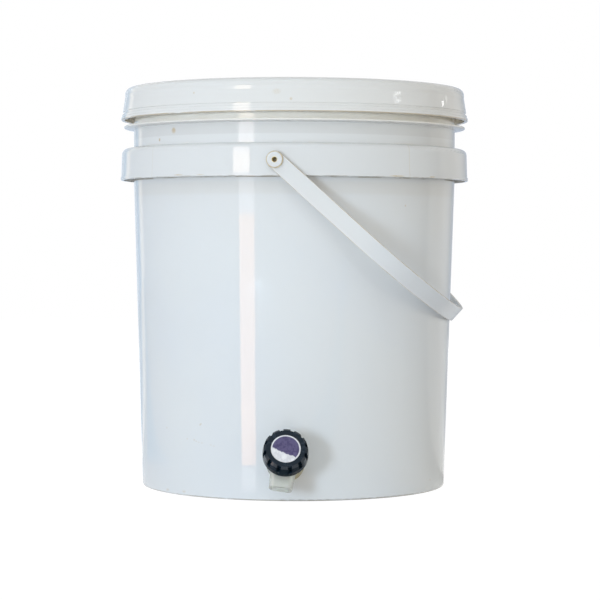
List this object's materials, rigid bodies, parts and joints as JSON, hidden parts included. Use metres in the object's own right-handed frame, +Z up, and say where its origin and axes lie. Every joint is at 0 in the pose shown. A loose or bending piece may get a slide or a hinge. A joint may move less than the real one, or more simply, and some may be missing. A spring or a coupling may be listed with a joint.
{
  "type": "plastic bucket with tap",
  "caption": "Round plastic bucket with a press-on lid, a swinging carrying handle and a screw-down tap near the base, for storing and drawing off honey or other liquids.",
  "frame": {"origin": "middle of the base, on the plane that the bucket stands on", "axes": "+Z up along the bucket's axis; the handle's pins lie along Y and the tap is on the -Y side; the handle hangs on the +X side"},
  "size_m": [0.3135, 0.3497, 0.357],
  "materials": {
    "white_plastic": "smooth moulded gloss",
    "handle_plastic": "smooth moulded gloss",
    "natural_plastic": "cloudy uncoloured moulding",
    "dark_plastic": "satin to gloss",
    "disc_face": "printed disc, bare",
    "grey_rubber": "soft foam",
    "tan_rubber": "soft sheet",
    "black_rubber": "moulded",
    "steel": "plain stainless"
  },
  "bodies": {
    "bucket_body": {"bucket": "white_plastic", "handle_pin_front": "handle_plastic", "handle_pin_rear": "handle_plastic", "tap_body": "natural_plastic", "tap_outer_washer": "tan_rubber", "tap_inner_washer": "tan_rubber", "tap_lock_nut": "dark_plastic"},
    "lid_body": {"lid": "white_plastic", "lid_gasket": "grey_rubber"},
    "handle_body": {"handle": "handle_plastic"},
    "plunger_body": {"valve_plunger": "natural_plastic", "valve_washer": "black_rubber", "plunger_o_ring": "black_rubber", "knob_screw": "steel", "knob_screw_washer": "steel"},
    "knob_body": {"tap_knob": "dark_plastic", "knob_disc": "disc_face"}
  },
  "joints": [
    {"name": "lid_lift", "type": "slide", "parent": "bucket_body", "child": "lid_body", "axis": [0, 0, 1], "range_m": [0, 0.4]},
    {"name": "handle_swing", "type": "hinge", "parent": "bucket_body", "child": "handle_body", "pos_m": [0, 0, 0.2877], "axis": [0, -1, 0], "range_deg": [0, 263.9]},
    {"name": "plunger_travel", "type": "slide", "parent": "bucket_body", "child": "plunger_body", "axis": [0.1164, -0.864, 0.4898], "range_m": [0, 0.00501]},
    {"name": "knob_turn", "type": "hinge", "parent": "plunger_body", "child": "knob_body", "pos_m": [0.00845, -0.15115, 0.03306], "axis": [0.1164, -0.864, 0.4898], "range_deg": [0, 450]}
  ],
  "couplings": [
    {"joint": "plunger_travel", "follows": "knob_turn", "m_per_rad": 0.00063662}
  ]
}
